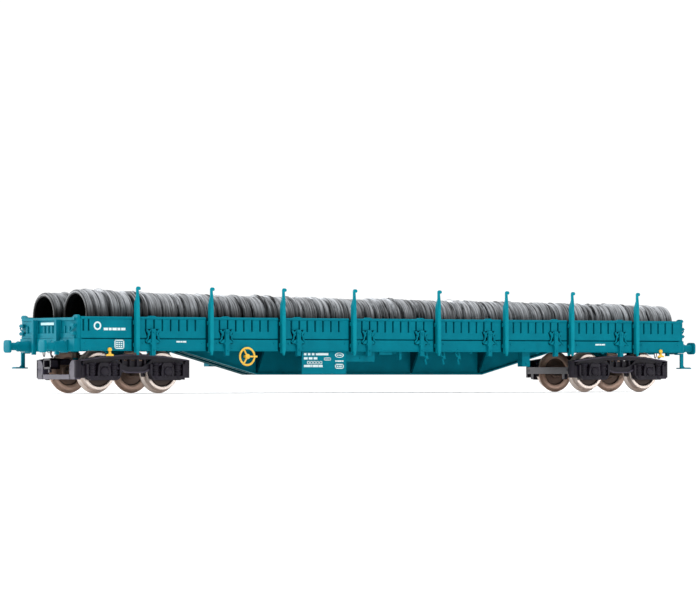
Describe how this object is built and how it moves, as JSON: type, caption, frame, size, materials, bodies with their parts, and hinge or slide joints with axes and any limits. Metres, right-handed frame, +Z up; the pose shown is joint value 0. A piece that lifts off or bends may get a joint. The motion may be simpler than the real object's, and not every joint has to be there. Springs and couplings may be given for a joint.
{
  "type": "model flat car",
  "caption": "Model railway bogie flat car with low ribbed sides, tall stakes, fishbelly frame and two rows of wire coils as a removable load",
  "frame": {"origin": "on the ground under the middle of the wagon, where the wheel flanges stand", "axes": "+X along the wagon, +Z up, -Y towards the side with handwheel and data board at the left"},
  "size_m": [0.2288, 0.0354, 0.03],
  "materials": {
    "body_plastic": "satin turquoise",
    "stake_plastic": "satin light turquoise",
    "bogie_plastic": "matt near-black",
    "yellow_plastic": "satin yellow",
    "dark_steel": "dull",
    "wheel_nickel": "bright plated",
    "load_wire": "dark grey, slightly metallic"
  },
  "bodies": {
    "wagon_body": {"deck": "body_plastic", "underframe": "body_plastic", "ballast_weight": "dark_steel", "side_wall_near": "body_plastic", "side_wall_far": "body_plastic", "end_wall_left": "body_plastic", "end_wall_right": "body_plastic", "stake_near_1": "stake_plastic", "stake_near_2": "stake_plastic", "stake_near_3": "stake_plastic", "stake_near_4": "stake_plastic", "stake_near_5": "stake_plastic", "stake_near_6": "stake_plastic", "stake_near_7": "stake_plastic", "stake_near_8": "stake_plastic", "stake_far_1": "stake_plastic", "stake_far_2": "stake_plastic", "stake_far_3": "stake_plastic", "stake_far_4": "stake_plastic", "stake_far_5": "stake_plastic", "stake_far_6": "stake_plastic", "stake_far_7": "stake_plastic", "stake_far_8": "stake_plastic", "buffer_left_near": "body_plastic", "buffer_left_far": "body_plastic", "buffer_right_near": "body_plastic", "buffer_right_far": "body_plastic", "pivot_pin_left": "dark_steel", "pivot_pin_right": "dark_steel", "coupler_spring_left": "dark_steel", "coupler_spring_right": "dark_steel", "step_right_near": "body_plastic", "step_left_far": "body_plastic", "data_board_near": "body_plastic", "data_board_far": "body_plastic", "release_handle_near_1": "yellow_plastic", "release_handle_near_2": "yellow_plastic", "release_handle_far_1": "yellow_plastic", "release_handle_far_2": "yellow_plastic"},
    "bogie_left": {"bogie_frame_left": "bogie_plastic"},
    "bogie_right": {"bogie_frame_right": "bogie_plastic"},
    "wheelset_1": {"axle_1": "dark_steel", "wheel_1_near": "wheel_nickel", "wheel_1_far": "wheel_nickel"},
    "wheelset_2": {"axle_2": "dark_steel", "wheel_2_near": "wheel_nickel", "wheel_2_far": "wheel_nickel"},
    "wheelset_3": {"axle_3": "dark_steel", "wheel_3_near": "wheel_nickel", "wheel_3_far": "wheel_nickel"},
    "wheelset_4": {"axle_4": "dark_steel", "wheel_4_near": "wheel_nickel", "wheel_4_far": "wheel_nickel"},
    "coupler_left": {"coupler_drawbar_left": "bogie_plastic"},
    "coupler_right": {"coupler_drawbar_right": "bogie_plastic"},
    "handwheel_near": {"handwheel_near": "yellow_plastic"},
    "handwheel_far": {"handwheel_far": "yellow_plastic"},
    "load_near": {"load_row_near": "load_wire"},
    "load_far": {"load_row_far": "load_wire"}
  },
  "joints": [
    {"name": "bogie_left_swivel", "type": "hinge", "parent": "wagon_body", "child": "bogie_left", "pos_m": [-0.0854, 0, 0.00925], "axis": [0, 0, 1], "range_deg": [-12, 12]},
    {"name": "bogie_right_swivel", "type": "hinge", "parent": "wagon_body", "child": "bogie_right", "pos_m": [0.0854, 0, 0.00925], "axis": [0, 0, 1], "range_deg": [-12, 12]},
    {"name": "wheelset_1_spin", "type": "hinge", "parent": "bogie_left", "child": "wheelset_1", "pos_m": [-0.09575, 0, 0.00623], "axis": [0, 1, 0], "continuous": true},
    {"name": "wheelset_2_spin", "type": "hinge", "parent": "bogie_left", "child": "wheelset_2", "pos_m": [-0.07505, 0, 0.00623], "axis": [0, 1, 0], "continuous": true},
    {"name": "wheelset_3_spin", "type": "hinge", "parent": "bogie_right", "child": "wheelset_3", "pos_m": [0.07505, 0, 0.00623], "axis": [0, 1, 0], "continuous": true},
    {"name": "wheelset_4_spin", "type": "hinge", "parent": "bogie_right", "child": "wheelset_4", "pos_m": [0.09575, 0, 0.00623], "axis": [0, 1, 0], "continuous": true},
    {"name": "coupler_left_swing", "type": "hinge", "parent": "wagon_body", "child": "coupler_left", "pos_m": [-0.0976, 0, 0.00895], "axis": [0, 0, 1], "range_deg": [-12, 12], "stiffness_Nm_per_rad": 0.0002},
    {"name": "coupler_right_swing", "type": "hinge", "parent": "wagon_body", "child": "coupler_right", "pos_m": [0.0976, 0, 0.00895], "axis": [0, 0, 1], "range_deg": [-12, 12], "stiffness_Nm_per_rad": 0.0002},
    {"name": "handwheel_near_turn", "type": "hinge", "parent": "wagon_body", "child": "handwheel_near", "pos_m": [-0.05115, -0.017, 0.01045], "axis": [0, 1, 0], "continuous": true},
    {"name": "handwheel_far_turn", "type": "hinge", "parent": "wagon_body", "child": "handwheel_far", "pos_m": [0.05115, 0.017, 0.01045], "axis": [0, 1, 0], "continuous": true},
    {"name": "load_near_lift", "type": "slide", "parent": "wagon_body", "child": "load_near", "axis": [0, 0, 1], "range_m": [0, 0.016]},
    {"name": "load_far_lift", "type": "slide", "parent": "wagon_body", "child": "load_far", "axis": [0, 0, 1], "range_m": [0, 0.016]}
  ]
}
